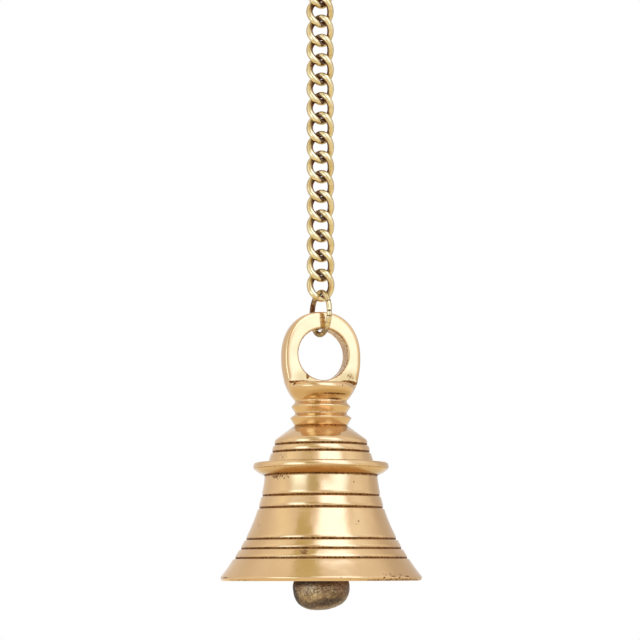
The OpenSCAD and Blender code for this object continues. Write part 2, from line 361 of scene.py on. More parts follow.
# Brown marks on the bell, listed in the same way: a film on the lip's edge, a smudge between the grooves,
# nicks along the lip and rust-coloured spots under the flange
BELL_STAINS = [
    (52, 0.3, 46, 1.1, 0.6),
    (-52, 0.2, 28, 0.9, 0.42),
    (-11.5, 10.9, 4.8, 1.5, 0.7),
    (44.3, 1.7, 2.6, 0.3, 1.0),
    (56.5, 1.7, 3.4, 0.35, 1.0),
    (49, 1.3, 1.2, 0.3, 0.9),
    (36.6, 1.3, 1.2, 0.35, 1.0),
    (-70, 1.3, 8, 0.25, 0.8),
    (-53, 39.7, 7, 0.55, 0.75),
    (-45.5, 39.6, 3, 0.5, 0.7),
    (-38, 39.6, 2.5, 0.4, 0.45),
]


def flare_r(z):
    reach = max(0.0, (FLANGE_Z - z) / (FLANGE_Z - LIP_H))
    return WAIST_R + (MOUTH_R - WAIST_R) * reach**FLARE_POWER


def shoulder_r(z):
    return SHOULDER_R + (SHOULDER_TOP_R - SHOULDER_R) * (z - FLANGE_Z) / SHOULDER_H


def surface_run(radius_at, start, end, grooves, count):
    """Outline points between two heights, both left out, with a V-groove square to the surface at each cut.

    Also returns the index of each groove's three corners.
    """
    sign = 1 if end > start else -1
    run, marks = [], []
    heights = [start + (end - start) * i / (count - 1) for i in range(count)]
    cuts = sorted(grooves, key=lambda z: sign * z)
    for low, high in zip([start] + cuts, cuts + [end]):
        run += [
            (radius_at(z), z)
            for z in heights
            if sign * z > sign * low + (0 if low == start else 2 * GROOVE_HALF_W)
            and sign * z < sign * high - (0 if high == end else 2 * GROOVE_HALF_W)
        ]
        if high == end and high not in cuts:
            continue
        slope = (radius_at(high + EPS) - radius_at(high)) / EPS
        along = Vector((slope, 1)).normalized() * sign
        inward = Vector((-1, slope)).normalized()
        middle = Vector((radius_at(high), high))
        marks += [len(run), len(run) + 1, len(run) + 2]
        for step, depth in ((-1, 0), (0, 1), (1, 0)):
            point = middle + along * step * GROOVE_HALF_W + inward * depth * GROOVE_DEPTH
            run.append(tuple(point))
    return run, marks


def notched(points, z, half_w, depth):
    """Falling outline with a fine V cut into it at one height."""
    heights = [p[1] for p in reversed(points)]
    radii = [p[0] for p in reversed(points)]
    cut = [(step, np.interp(z - step * half_w, heights, radii)) for step in (-1, 0, 1)]
    middle = [(r - depth * (step == 0), z - step * half_w) for step, r in cut]
    above = [p for p in points if p[1] > z + half_w]
    below = [p for p in points if p[1] < z - half_w]
    return above + middle + below


def bell_outline():
    """Closed outline of the bell's wall, and the rounding of its corners."""
    waist_r = flare_r(FLANGE_LOW_Z)
    outline = [(HOLE_R, BELL_H), (CROWN_R, BELL_H)]
    rounds = {len(outline): SHOULDER_EDGE * 0.6}
    outline.append((SHOULDER_TOP_R, FLANGE_Z + SHOULDER_H))
    run, marks = surface_run(shoulder_r, FLANGE_Z + SHOULDER_H - 0.8 * MM, FLANGE_Z, SHOULDER_GROOVES, 24)
    rounds.update(groove_rounds(marks, len(outline)))
    outline += run + [(SHOULDER_R, FLANGE_Z), (SHOULDER_R + FLANGE_RIM, FLANGE_Z)]
    rim_at, rim_h = (FLANGE_R - FLANGE_RIM, FLANGE_EDGE_Z), FLANGE_Z - FLANGE_EDGE_Z
    outline += arc_points(rim_at, FLANGE_RIM, rim_h, 90, 0, 9, RIM_FULLNESS)[:-1]
    under_w, under_h = FLANGE_R - waist_r, FLANGE_EDGE_Z - FLANGE_LOW_Z
    under = arc_points((waist_r, FLANGE_EDGE_Z), under_w, under_h, 0, -90, 20, FLANGE_FULLNESS)
    outline += notched(under, *FLANGE_CUT)
    run, marks = surface_run(flare_r, FLANGE_LOW_Z, LIP_H, WAIST_GROOVES + MOUTH_GROOVES, 64)
    rounds.update(groove_rounds(marks, len(outline)))
    outline += run
    rounds[len(outline) - 1] = LIP_EDGE_ROUND
    rim_r = flare_r(0) - WALL + LIP_FLAT
    outline += arc_points((rim_r, LIP_H), MOUTH_R - rim_r, LIP_H, 0, -90, 13, LIP_FULLNESS)[1:]
    inside = [i / 23 * FLANGE_LOW_Z for i in range(24)]
    outline += [(flare_r(z) - WALL, z) for z in inside]
    dome_r = waist_r - WALL
    dome_to = math.degrees(math.acos(CEILING_R / dome_r))
    dome_h = (CEILING_Z - FLANGE_LOW_Z) / math.sin(math.radians(dome_to))
    outline += arc_points((0, FLANGE_LOW_Z), dome_r, dome_h, 0, dome_to, 20)[1:]
    outline.append((HOLE_R, CEILING_Z))
    return outline, rounds


def groove_rounds(marks, offset):
    """Buffing: the edge above a groove is worn round, the edge below it less and the valley hardly."""
    return {offset + m: GROOVE_ROUNDS[i % 3] for i, m in enumerate(marks)}


def make_bell():
    outline, rounds = bell_outline()
    bell = turned("turned_bell", outline, rounds, steps=240)
    place = corners(bell)
    r, z = np.hypot(place[:, 0], place[:, 1]), place[:, 2]
    outer = np.where(
        z < FLANGE_LOW_Z,
        np.minimum(np.vectorize(flare_r)(z), MOUTH_R),
        np.where(z > FLANGE_Z + EPS, np.vectorize(shoulder_r)(z), r),
    )
    inside = (r < outer - 0.7 * WALL) & (z < BELL_H - 4 * MM) & (r > BOLT_R)
    depth = np.where(inside | (z > SHOULDER_GROOVES[1] + MM) | (z < LIP_H + MM), 0, outer - r)
    waist_r = flare_r(FLANGE_LOW_Z)
    corner = np.hypot(r - waist_r, z - FLANGE_LOW_Z)
    seat = np.abs(z - FLANGE_Z) + np.abs(r - SHOULDER_R)
    cut = np.where((r > FLANGE_R - MM) & ~inside, np.abs(z - FLANGE_CUT[0]), MM)
    front = from_front(place)
    dirt_and_shade = np.maximum.reduce([
        soft_step(depth, 0.08 * MM, 0.5 * MM),
        film(corner, 0.3 * MM, 0.95 * MM),
        film(seat, 0.25 * MM, 0.8 * MM),
        film(cut, 0.08 * MM, 0.28 * MM, 0.6),
        spots(front, z, BELL_STAINS),
    ])
    # Painted shade under the flange: brown, strongest at the underside's lower corner and fainter higher up.
    under = (z < FLANGE_CUT[0]) & (z > FLANGE_LOW_Z - EPS) & (r > waist_r) & ~inside
    tarnish_and_shade = np.where(under, 0.9 - 0.7 * soft_step(z - FLANGE_LOW_Z, 0.3 * MM, 2.2 * MM), 0)
    set_wear(bell, "dirt_and_shade", np.where(inside, 0.25, dirt_and_shade))
    set_wear(bell, "rough_cast", np.where(inside, 1.0, 0.0))
    set_wear(bell, "tarnish_and_shade", tarnish_and_shade)
    set_wear(bell, "pitted", np.where(inside, 0.0, spots(front, z, BELL_PITS)))
    return set_down(bell, LIP_Z, BELL_TURN)


# Crown loop

# Brown film and tarnish on the front flat, by place across and height in mm, and on the collar, by azimuth
# in degrees and height in mm; each mark also has half of each size and its strength
FLAT_STAINS = [
    (10, 16.9, 5, 1.4, 1.0),
    (11, 19.2, 2.6, 2.2, 0.45),
    (-6.6, 19.4, 0.9, 2.2, 0.8),
    (-9, 16.9, 6, 0.9, 0.7),
]
FLAT_TARNISH = [(9.5, 17.2, 9, 6.5, 0.6), (-7, 17.5, 7, 6.5, 0.5)]
COLLAR_STREAKS = [(28, 11.9, 45, 0.6, 0.7), (34, 10, 28, 0.5, 0.8)]
COLLAR_TARNISH = [(24, 12, 80, 2.1, 0.7), (-50, 12, 70, 2.2, 0.25)]


def egg_r(z):
    """Radius of the egg's lower half."""
    return LOOP_R * (1 - ((LOOP_WIDE_H - z) / LOOP_LOW_H) ** LOOP_FULLNESS) ** (1 / LOOP_FULLNESS)


def loop_outline():
    low_angle = -math.degrees(math.acos((NECK_R / LOOP_R) ** (LOOP_FULLNESS / 2)))
    hole_top = BOLT_TOP_Z - BELL_H + MM
    middle = (0, LOOP_WIDE_H)
    outline = [(0, hole_top), (HOLE_R, hole_top), (HOLE_R, 0), (CROWN_R, 0)]
    outline += [LOW_RING, (NECK_R, VALLEY_H), HIGH_RING]
    outline += arc_points(middle, LOOP_R, LOOP_LOW_H, low_angle, 0, 40, LOOP_FULLNESS)
    outline += arc_points(middle, LOOP_R, LOOP_TOP_H, 0, 90, 40, LOOP_FULLNESS)[1:]
    return outline


def eye_cutter():
    """Drill for the loop's eye: a cylinder whose ends are extruded and widened into chamfers."""
    straight = LOOP_T - 2 * LOOP_EYE_CHAMFER
    past = 1.5
    drill = new_shape(
        "eye_drill", bpy.ops.mesh.primitive_cylinder_add, vertices=160, radius=LOOP_EYE_R, depth=straight
    )
    drill.rotation_euler.x = math.pi / 2
    apply_place(drill)
    edit(drill)
    for side in (-1, 1):
        select_where(drill, lambda f: f.normal.y * side > 0.9, "FACE")
        bpy.ops.mesh.extrude_region_move(
            TRANSFORM_OT_translate={"value": (0, side * past * LOOP_EYE_CHAMFER, 0)}
        )
        wide = 1 + past * LOOP_EYE_CHAMFER / LOOP_EYE_R
        bpy.ops.transform.resize(value=(wide, 1, wide), center_override=(0, 0, 0))
    leave_edit()
    drill.location.z = LOOP_EYE_H
    apply_place(drill)
    return drill


def ledge_button():
    """Turned button as wide as the egg, with the rounded rim that the ledge keeps."""
    slope = (egg_r(LOOP_LEDGE_H + EPS) - egg_r(LOOP_LEDGE_H)) / EPS
    lean = math.atan(slope)
    rim_mid_r = egg_r(LOOP_LEDGE_H) - LEDGE_RIM_R * (1 + math.sin(lean)) / math.cos(lean)
    low_z = LOOP_LEDGE_H - 2 * LEDGE_RIM_R
    centre = (rim_mid_r, LOOP_LEDGE_H - LEDGE_RIM_R)
    outline = [(0, low_z), (egg_r(LOOP_LEDGE_H), low_z)]
    outline += arc_points(centre, LEDGE_RIM_R, LEDGE_RIM_R, -math.degrees(lean), 90, 14)
    outline.append((0, LOOP_LEDGE_H))
    return turned("ledge_button", outline, {}, steps=160, closed=False)


def flat_cutter(side):
    """Block that mills one flat of the loop, hollowed so that the flat swells and the ledge stands."""
    height = 2 * (LOOP_R + LOOP_TOP_H)
    block = new_shape("flat_mill", bpy.ops.mesh.primitive_cube_add, size=1)
    block.scale = (3 * LOOP_R, LOOP_R, height)
    block.location = (0, side * (LOOP_T + LOOP_R) / 2, LOOP_LEDGE_H - 1.6 * LEDGE_RIM_R + height / 2)
    apply_place(block)
    cut_away(block, ledge_button())
    swell = new_shape(
        "flat_swell", bpy.ops.mesh.primitive_uv_sphere_add, segments=256, ring_count=128, radius=LOOP_FLAT_R
    )
    swell.location = (0, side * (LOOP_T / 2 - LOOP_FLAT_R), LOOP_EYE_H)
    apply_place(swell)
    cut_away(block, swell)
    return block


def buff(obj, name, strength, rounds):
    """Rounds the edges by smoothing, as strongly at each vertex as its strength says."""
    group = obj.vertex_groups.new(name=name)
    for level in range(1, 11):
        members = np.flatnonzero(np.round(strength * 10) == level)
        group.add(members.tolist(), level / 10, "REPLACE")
    modify(obj, "SMOOTH", factor=0.5, iterations=rounds, vertex_group=name)


def make_loop():
    """Crown loop: turned as an egg on its neck, milled flat on both sides, drilled and buffed round."""
    loop = turned("crown_loop_buffed", loop_outline(), {}, steps=160, closed=False)
    for side in (-1, 1):
        cut_away(loop, flat_cutter(side))
    cut_away(loop, eye_cutter())
    modify(loop, "REMESH", mode="VOXEL", voxel_size=LOOP_VOXEL)
    x, y, z = corners(loop).T
    from_eye = np.hypot(x, z - LOOP_EYE_H)
    # Buffing rounds the loop's outer edges most, the eye's rims less and the neck hardly
    above = soft_step(z, LOOP_LEDGE_H + 0.3 * MM, LOOP_LEDGE_H + 2 * MM)
    off_eye = soft_step(from_eye, LOOP_EYE_R + 0.8 * MM, LOOP_EYE_R + 2.6 * MM)
    at_eye = film(from_eye, LOOP_EYE_R, LOOP_EYE_R + MM)
    buff(loop, "flats", above * (0.25 + 0.75 * off_eye) * (1 - 0.5 * at_eye), FLAT_ROUNDS)
    buff(loop, "outer_edges", above * off_eye, OUTER_EDGE_ROUNDS)
    modify(loop, "SMOOTH", factor=0.5, iterations=2)
    loop.vertex_groups.clear()
    place = corners(loop)
    x, y, z = place.T
    r = np.hypot(x, y)
    from_eye = np.hypot(x, z - LOOP_EYE_H)
    off_flat = np.abs(np.abs(y) - LOOP_T / 2)
    on_flat = (off_flat < 0.5 * MM) & (z > LOOP_LEDGE_H - 0.5 * MM)
    front_flat = on_flat & (y < 0)
    front = from_front(place)
    dirt_and_shade = np.maximum.reduce([
        film(np.abs(z - LOOP_LEDGE_H) + 0.8 * off_flat, 0.25 * MM, 0.9 * MM, 0.9),
        np.where(front_flat, spots(x / MM, z, FLAT_STAINS), 0),
        np.where(on_flat, 0, spots(front, z, COLLAR_STREAKS)),
    ])
    for height, level in ((0, 0.4), (VALLEY_H, 0.5), (COLLAR_H, 0.4)):
        close = np.abs(z - height) + 0.4 * np.maximum(0, r - NECK_R)
        dirt_and_shade = np.maximum(dirt_and_shade, film(close, 0.15 * MM, 0.6 * MM, level))
    flat_tarnish = np.where(front_flat, spots(x / MM, z, FLAT_TARNISH), 0)
    bore = film(from_eye, LOOP_EYE_R + 0.1 * MM, LOOP_EYE_R + 0.5 * MM) * (z > LOOP_LEDGE_H)
    set_wear(loop, "dirt_and_shade", dirt_and_shade)
    set_wear(loop, "tarnish_and_shade", np.maximum(flat_tarnish, spots(front, z, COLLAR_TARNISH)))
    set_wear(loop, "rough_cast", 0.5 * bore)
    set_wear(loop, "pitted", 0.8 * bore)
    return set_down(loop, SEAT_Z, BELL_TURN)


# Chain, ring and hook


def link_point(t):
    """Centre line of a link: a full oval, turned about the chain's length in step with its height."""
    across = LINK_HALF_W * full(math.cos(t), LINK_FULLNESS)
    rise = full(math.sin(t), LINK_FULLNESS)
    turn = -LINK_TWIST * rise
    return Vector((across * math.cos(turn), across * math.sin(turn), LINK_HALF_L * rise))


def even_link_points(count):
    """Points at even steps along the link, starting at its butt joint on the right."""
    fine = [link_point(2 * math.pi * i / 720) for i in range(721)]
    run = np.concatenate([[0], np.cumsum([(b - a).length for a, b in zip(fine, fine[1:])])])
    stops = np.linspace(0, run[-1], count, endpoint=False)
    table = np.array(fine)
    return [Vector([np.interp(s, run, table[:, k]) for k in range(3)]) for s in stops]


def make_link():
    """One link: a curve circle pulled to the twisted oval, given its wire and made a mesh."""
    link = new_shape("curb_link", bpy.ops.curve.primitive_bezier_circle_add, radius=LINK_HALF_W)
    bpy.ops.object.mode_set(mode="EDIT")
    bpy.ops.curve.select_all(action="SELECT")
    bpy.ops.curve.subdivide(number_cuts=5)
    bpy.ops.curve.handle_type_set(type="AUTOMATIC")
    leave_edit()
    spline = link.data.splines[0]
    for point, place in zip(spline.bezier_points, even_link_points(len(spline.bezier_points))):
        point.co = place
    link.data.resolution_u = 4
    link.data.bevel_depth = LINK_WIRE_R
    link.data.bevel_resolution = 8
    bpy.ops.object.convert(target="MESH")
    link = bpy.context.object
    edit(link)
    close_seams()
    leave_edit()
    place = corners(link)
    line = np.array([link_point(2 * math.pi * i / 180) for i in range(180)])
    near = np.full(len(place), 1.0)
    for step in (-1, 1):
        other = line + np.array([0, 0, step * LINK_PITCH])
        gap = np.linalg.norm(place[:, None, :] - other[None, :, :], axis=2).min(1) - LINK_WIRE_R
        near = np.minimum(near, gap)
    own = np.linalg.norm(place[:, None, :] - line[None, :, :], axis=2)
    middle = line[own.argmin(1)]
    inward = np.einsum("ij,ij->i", place - middle, -middle) / LINK_WIRE_R / np.linalg.norm(middle, axis=1)
    # Brown film gathers where the links cross, and the inner side of each wire is darkened as painted shade.
    dirt_and_shade = np.maximum(film(near, 0.1 * MM, 1.9 * MM), 0.9 * soft_step(inward, 0.1, 0.85))
    set_wear(link, "dirt_and_shade", dirt_and_shade)
    at_joint = film(np.abs(place[:, 2]), 0.05 * MM, 0.25 * MM, 0.15)
    set_wear(link, "joint", np.where(place[:, 0] > 0, at_joint, 0))
    smooth_all(link)
    return link


def make_chain():
    """Sixteen links, each a copy of the first with a mesh of its own; the upper ones are dirtier and their
    painted shade deeper.
    """
    first = make_link()
    links = [first]
    for i in range(1, LINK_COUNT):
        pick(first)
        bpy.ops.object.duplicate(linked=False)
        links.append(bpy.context.object)
    for i, link in enumerate(links):
        link.name = f"curb_link_{i + 1:02d}"
        link.data.name = link.name
        link.location.z = FIRST_LINK_Z - i * LINK_PITCH
        apply_place(link)
        age = 1.2 - 0.35 * i / LINK_COUNT
        for mark in link.data.attributes["dirt_and_shade"].data:
            mark.value = min(1.0, age * mark.value)
    return links


def wire_section(name, radius, place, rotation):
    """Round section of a wire, ready to be spun."""
    section = new_shape(name, bpy.ops.mesh.primitive_circle_add, vertices=24, radius=radius)
    section.location = place
    section.rotation_euler = rotation
    apply_place(section)
    edit(section)
    select_everything()
    return section


def close_ends(obj, rounding, segments):
    """Caps the open ends of a wire and files their edges round."""
    bpy.ops.mesh.select_mode(type="EDGE")
    select_everything()
    bpy.ops.mesh.fill_holes(sides=0)
    select_everything()
    bpy.ops.mesh.normals_make_consistent(inside=False)
    select_where(obj, lambda f: len(f.verts) > 4, "FACE")
    bpy.ops.mesh.region_to_loop()
    bpy.ops.mesh.bevel(affect="EDGES", offset=rounding, segments=segments)
    leave_edit()


def make_ring():
    """Jump ring: a wire section spun nearly all the way round, with its saw cut at the front."""
    half_cut = math.asin(RING_CUT / 2 / RING_MID_R)
    start = (RING_MID_R * math.cos(half_cut), 0, RING_MID_R * math.sin(half_cut))
    ring = wire_section("open_jump_ring", RING_WIRE_R, start, (0, -half_cut, 0))
    spin(144, -(2 * math.pi - 2 * half_cut))
    close_ends(ring, RING_END_ROUND, 2)
    place = corners(ring)
    angle = np.arctan2(place[:, 2], place[:, 0])
    run = angle * RING_MID_R
    marks = np.zeros(len(place))
    for spot, level in ((-4.2 * MM, 0.5), (-1.8 * MM, 0.8), (0, 0.8), (3.9 * MM, 0.9)):
        marks = np.maximum(marks, film(np.abs(run - spot), 0.08 * MM, 0.28 * MM, level))
    # The back half is painted darker as shade, and the lower part, where it hangs in the loop's eye, is made
    # darker.
    back = soft_step(-place[:, 0], 0, RING_MID_R)
    low = soft_step(-place[:, 2], 0.4 * RING_MID_R, 0.9 * RING_MID_R)
    set_wear(ring, "dirt_and_shade", np.maximum(marks, np.maximum(0.8 * back, 0.5 * low)))
    set_wear(ring, "joint", marks)
    return set_down(ring, RING_Z, RING_TURN - math.pi / 2, WIRE_SMOOTH_ANGLE)


def make_hook():
    """S-hook: one wire section spun up into the open hook and down into the nearly closed eye."""
    meet = (0, 0, HOOK_Z - HOOK_MID_R)
    hook = wire_section("wire_s_hook", HOOK_WIRE_R, meet, (0, math.pi / 2, 0))
    spin(96, -(math.radians(270) + HOOK_TIP), (0, 0, HOOK_Z))
    select_where(hook, lambda v: abs(v.co.x) < EPS and abs(v.co.z - meet[2]) < 1.01 * HOOK_WIRE_R)
    bpy.ops.mesh.select_mode(type="EDGE")
    spin(100, -HOOK_EYE_SWEEP, (0, 0, HOOK_EYE_Z))
    select_everything()
    bpy.ops.mesh.remove_doubles(threshold=EPS)
    close_ends(hook, HOOK_END_ROUND, 5)
    place = corners(hook)
    seat = np.abs(place[:, 2] - (HOOK_EYE_Z - HOOK_EYE_MID_R))
    meet_gap = np.abs(place[:, 2] - meet[2])
    dirt_and_shade = np.maximum(film(seat, MM, 4 * MM), film(meet_gap, MM, 4 * MM, 0.6))
    set_wear(hook, "dirt_and_shade", dirt_and_shade)
    set_wear(hook, "joint", 0)
    return set_down(hook, 0, LINK_TWIST, WIRE_SMOOTH_ANGLE)


# Clapper and fixings


def make_eyed_shank(name, shank_r, low, high, eye_z, turn):
    """Forged eye on a round shank: the shank is extruded, the eye is spun, and the two are joined."""
    shank = wire_section(name, shank_r, (0, 0, low), (0, 0, 0))
    bpy.ops.mesh.extrude_region_move(TRANSFORM_OT_translate={"value": (0, 0, high - low)})
    close_ends(shank, SHANK_END_ROUND, 3)
    ring = wire_section(name + "_eye", EYE_WIRE_R, (EYE_MID_R, 0, 0), (0, 0, 0))
    spin(64, 2 * math.pi)
    close_seams()
    leave_edit()
    ring.location.z = eye_z
    ring.rotation_euler.z = turn
    apply_place(ring)
    pick(shank, ring)
    bpy.ops.object.join()
    modify(shank, "REMESH", mode="VOXEL", voxel_size=SHANK_VOXEL)
    modify(shank, "SMOOTH", factor=0.5, iterations=6)
    set_wear(shank, "dirt_and_shade", 0.5)
    set_wear(shank, "rubbed_and_highlight", 0)
    return set_down(shank, LIP_Z, BELL_TURN)


# Places on the ball worn bright, the two on its front left making a painted highlight, and dirty places,
# listed as on the bell, with heights from the ball's middle
BALL_RUBS_AND_HIGHLIGHT = [
    (-24, -1.2, 42, 5, 0.7),
    (-18, -1.6, 20, 3.4, 1.0),
    (12, -1.5, 34, 4, 0.35),
    (-150, 0, 60, 5, 0.6),
]
BALL_DIRT = [
    (-86, -2, 40, 7, 0.8),
    (10, -5.6, 70, 2.4, 0.56),
    (-45, -6.2, 40, 2.2, 0.55),
    (58, -6, 30, 1.6, 0.4),
    (150, -3, 70, 4, 0.55),
]


def make_ball():
    """Cast ball: turned from a full oval, with the lumps of its mould, and a little lopsided."""
    half = arc_points((0, 0), BALL_R, BALL_H / 2, -90, 90, 81, BALL_FULLNESS)
    ball = turned("cast_clapper_ball", half, {}, steps=144, closed=False)
    for size, depth in ((5 * MM, 0.35 * MM), (1.1 * MM, 0.16 * MM)):
        lumps = bpy.data.textures.new("mould_lumps", "CLOUDS")
        lumps.noise_scale = size
        lumps.noise_depth = 2
        modify(ball, "DISPLACE", texture=lumps, strength=depth, mid_level=0.55)
    place = corners(ball)
    z = place[:, 2]
    front = np.degrees(np.arctan2(place[:, 0], -place[:, 1]))
    # Dirty patches, and painted shade over the ball's top, under the lip.
    dirt_and_shade = np.maximum(spots(front, z, BALL_DIRT), 0.6 * soft_step(z, 0.5 * MM, 2.5 * MM))
    set_wear(ball, "dirt_and_shade", dirt_and_shade)
    set_wear(ball, "rubbed_and_highlight", spots(front, z, BALL_RUBS_AND_HIGHLIGHT))
    ball.rotation_euler.y = BALL_LEAN
    return set_down(ball, LIP_Z + BALL_Z)


def make_washer():
    outline = [(HOLE_R, 0), (WASHER_R, 0), (WASHER_R, WASHER_T), (HOLE_R, WASHER_T)]
    washer = turned("pressed_washer", outline, WASHER_ROUNDS, steps=96)
    set_wear(washer, "dirt_and_shade", 0.4)
    return set_down(washer, LIP_Z + CEILING_Z - WASHER_T, angle=math.radians(40))


def make_nut():
    """Hexagon nut: bored, with its edges broken."""
    add_cylinder = bpy.ops.mesh.primitive_cylinder_add
    nut = new_shape("hexagon_nut", add_cylinder, vertices=6, radius=NUT_R, depth=NUT_H)
    nut.rotation_euler.z = math.pi / 2
    apply_place(nut)
    cut_away(nut, new_shape("nut_drill", add_cylinder, vertices=48, radius=HOLE_R, depth=2 * NUT_H))
    modify(nut, "BEVEL", width=NUT_EDGE, segments=3, limit_method="ANGLE", angle_limit=math.radians(40))
    set_wear(nut, "dirt_and_shade", 0.45)
    return set_down(nut, LIP_Z + CEILING_Z - WASHER_T - NUT_H / 2, BELL_TURN, math.radians(30))


# Materials: linear colours here, lengths in metres below

BRASS = (0.69, 0.45, 0.228)
PALE_BRASS = (0.73, 0.485, 0.252)
CAST_SKIN = (0.44, 0.27, 0.1)
DARK_SKIN = (0.23, 0.115, 0.038)
TARNISH_AND_SHADE = (0.46, 0.25, 0.08)
PIT_BROWN = (0.19, 0.065, 0.018)
FILM_BROWN = (0.3, 0.125, 0.032)
FILM_SPECK = (0.09, 0.028, 0.005)
WIRE_BRASS = (0.66, 0.5, 0.255)
PALE_WIRE = (0.83, 0.68, 0.41)
WIRE_FILM_AND_SHADE = (0.165, 0.052, 0.014)
WIRE_CUT = (0.08, 0.035, 0.012)
WIRE_EDGE_TINT = (0.4, 0.28, 0.14)
DULL_BRASS = (0.5, 0.33, 0.12)
PALE_DULL_BRASS = (0.62, 0.43, 0.18)
DULL_BRASS_FILM = (0.2, 0.11, 0.04)
BRONZE = (0.15, 0.09, 0.054)
PALE_BRONZE = (0.25, 0.152, 0.092)
BRONZE_GRAIN = (0.44, 0.3, 0.185)
RUBBED_AND_HIGHLIGHT_BRONZE = (0.68, 0.52, 0.32)
BRONZE_FILM_AND_SHADE = (0.05, 0.036, 0.028)
BRONZE_PIT = (0.04, 0.026, 0.018)


def add(tree, kind, **settings):
    node = tree.nodes.new(kind)
    for key, value in settings.items():
        setattr(node, key, value)
    return node


def wire(tree, source, target):
    """Links an output to a socket, or sets the socket to a plain number or colour."""
    if isinstance(source, (int, float)):
        target.default_value = source
    elif isinstance(source, tuple):
        target.default_value = (*source, 1)
    else:
        tree.links.new(source, target)


def maths(tree, operation, first, second=0, clamp=False):
    """Math node on sockets or plain numbers; returns its output."""
    node = add(tree, "ShaderNodeMath", operation=operation, use_clamp=clamp)
    wire(tree, first, node.inputs[0])
    wire(tree, second, node.inputs[1])
    return node.outputs[0]


def plus(tree, base, mask, share, clamp=False):
    """The base and this share of a mask on top of it."""
    return maths(tree, "ADD", base, maths(tree, "MULTIPLY", mask, share), clamp)


def ramp(tree, value, low, high):
    """Smooth step from low to high."""
    node = add(tree, "ShaderNodeMapRange", interpolation_type="SMOOTHSTEP")
    wire(tree, value, node.inputs["Value"])
    wire(tree, low, node.inputs["From Min"])
    wire(tree, high, node.inputs["From Max"])
    return node.outputs["Result"]


def noise(tree, vector, scale, detail=3.0, roughness=0.55):
    node = add(tree, "ShaderNodeTexNoise")
    wire(tree, vector, node.inputs["Vector"])
    wire(tree, scale, node.inputs["Scale"])
    wire(tree, detail, node.inputs["Detail"])
    wire(tree, roughness, node.inputs["Roughness"])
    return node.outputs["Fac"]


def mix_colour(tree, factor, first, second):
    node = add(tree, "ShaderNodeMix", data_type="RGBA")
    wire(tree, factor, node.inputs["Factor"])
    wire(tree, first, node.inputs[6])
    wire(tree, second, node.inputs[7])
    return node.outputs[2]


def tint(tree, colour, mask, share, second):
    """The colour with this share of a second one mixed in where the mask is."""
    return mix_colour(tree, maths(tree, "MULTIPLY", mask, share), colour, second)


def new_group(name, output, **values):
    """Empty shader group from a place and named values to one value; returns the tree and its two ends."""
    tree = bpy.data.node_groups.new(name, "ShaderNodeTree")
    tree.interface.new_socket("Place", in_out="INPUT", socket_type="NodeSocketVector")
    for label, value in values.items():
        socket = tree.interface.new_socket(label, in_out="INPUT", socket_type="NodeSocketFloat")
        socket.default_value = value
    tree.interface.new_socket(output, in_out="OUTPUT", socket_type="NodeSocketFloat")
    return tree, add(tree, "NodeGroupInput"), add(tree, "NodeGroupOutput")


def in_units(tree, start, unit):
    """A group's place, measured in one of its own values."""
    node = add(tree, "ShaderNodeVectorMath", operation="DIVIDE")
    wire(tree, start.outputs["Place"], node.inputs[0])
    wire(tree, start.outputs[unit], node.inputs[1])
    return node.outputs[0]


def lathe_group():
    """Fine rings that the lathe tool left, broken up along their length."""
    tree, start, end = new_group("lathe_lines", "Height", Spacing=0.0003)
    split = add(tree, "ShaderNodeSeparateXYZ")
    wire(tree, start.outputs["Place"], split.inputs[0])
    squares = [maths(tree, "POWER", split.outputs[i], 2) for i in (0, 1)]
    radius = maths(tree, "SQRT", maths(tree, "ADD", *squares))
    turn = maths(tree, "ARCTAN2", split.outputs[1], split.outputs[0])
    join = add(tree, "ShaderNodeCombineXYZ")
    wire(tree, maths(tree, "DIVIDE", radius, start.outputs["Spacing"]), join.inputs[0])
    wire(tree, maths(tree, "DIVIDE", split.outputs[2], start.outputs["Spacing"]), join.inputs[1])
    wire(tree, maths(tree, "MULTIPLY", turn, 1.5), join.inputs[2])
    wire(tree, noise(tree, join.outputs[0], 1.0, 2.0), end.inputs["Height"])
    return tree


def waves_group():
    """Slow unevenness that a buffing wheel leaves."""
    tree, start, end = new_group("buffed_waves", "Height", Size=0.01)
    wire(tree, noise(tree, in_units(tree, start, "Size"), 1.0, 2.0, 0.4), end.inputs["Height"])
    return tree


def pits_group():
    """Scattered casting pits: a share of the cells of a cell pattern hold one small round hole each."""
    tree, start, end = new_group("casting_pits", "Mask", Cell=0.004, Share=0.1, Radius=0.12)
    cells = add(tree, "ShaderNodeTexVoronoi", feature="F1")
    wire(tree, 1.0, cells.inputs["Scale"])
    wire(tree, in_units(tree, start, "Cell"), cells.inputs["Vector"])
    split = add(tree, "ShaderNodeSeparateColor")
    wire(tree, cells.outputs["Color"], split.inputs[0])
    chosen = maths(tree, "LESS_THAN", split.outputs[0], start.outputs["Share"])
    size = maths(tree, "MULTIPLY", start.outputs["Radius"], maths(tree, "ADD", split.outputs[1], 0.5))
    hole = maths(tree, "SUBTRACT", 1.0, maths(tree, "DIVIDE", cells.outputs["Distance"], size), clamp=True)
    wire(tree, maths(tree, "MULTIPLY", chosen, maths(tree, "POWER", hole, 0.5)), end.inputs["Mask"])
    return tree


def grime_and_shade_group():
    """Dark film and painted shade: the piece's own mark of both, eaten ragged by noise."""
    tree, start, end = new_group("grime_and_shade", "Mask", Mark=0.0, Grain=0.001)
    ragged = maths(tree, "SUBTRACT", noise(tree, in_units(tree, start, "Grain"), 1.0, 3.0, 0.6), 0.5)
    pushed = plus(tree, start.outputs["Mark"], ragged, 0.95)
    within = ramp(tree, start.outputs["Mark"], 0.02, 0.2)
    wire(tree, maths(tree, "MULTIPLY", ramp(tree, pushed, 0.25, 0.8), within), end.inputs["Mask"])
    return tree


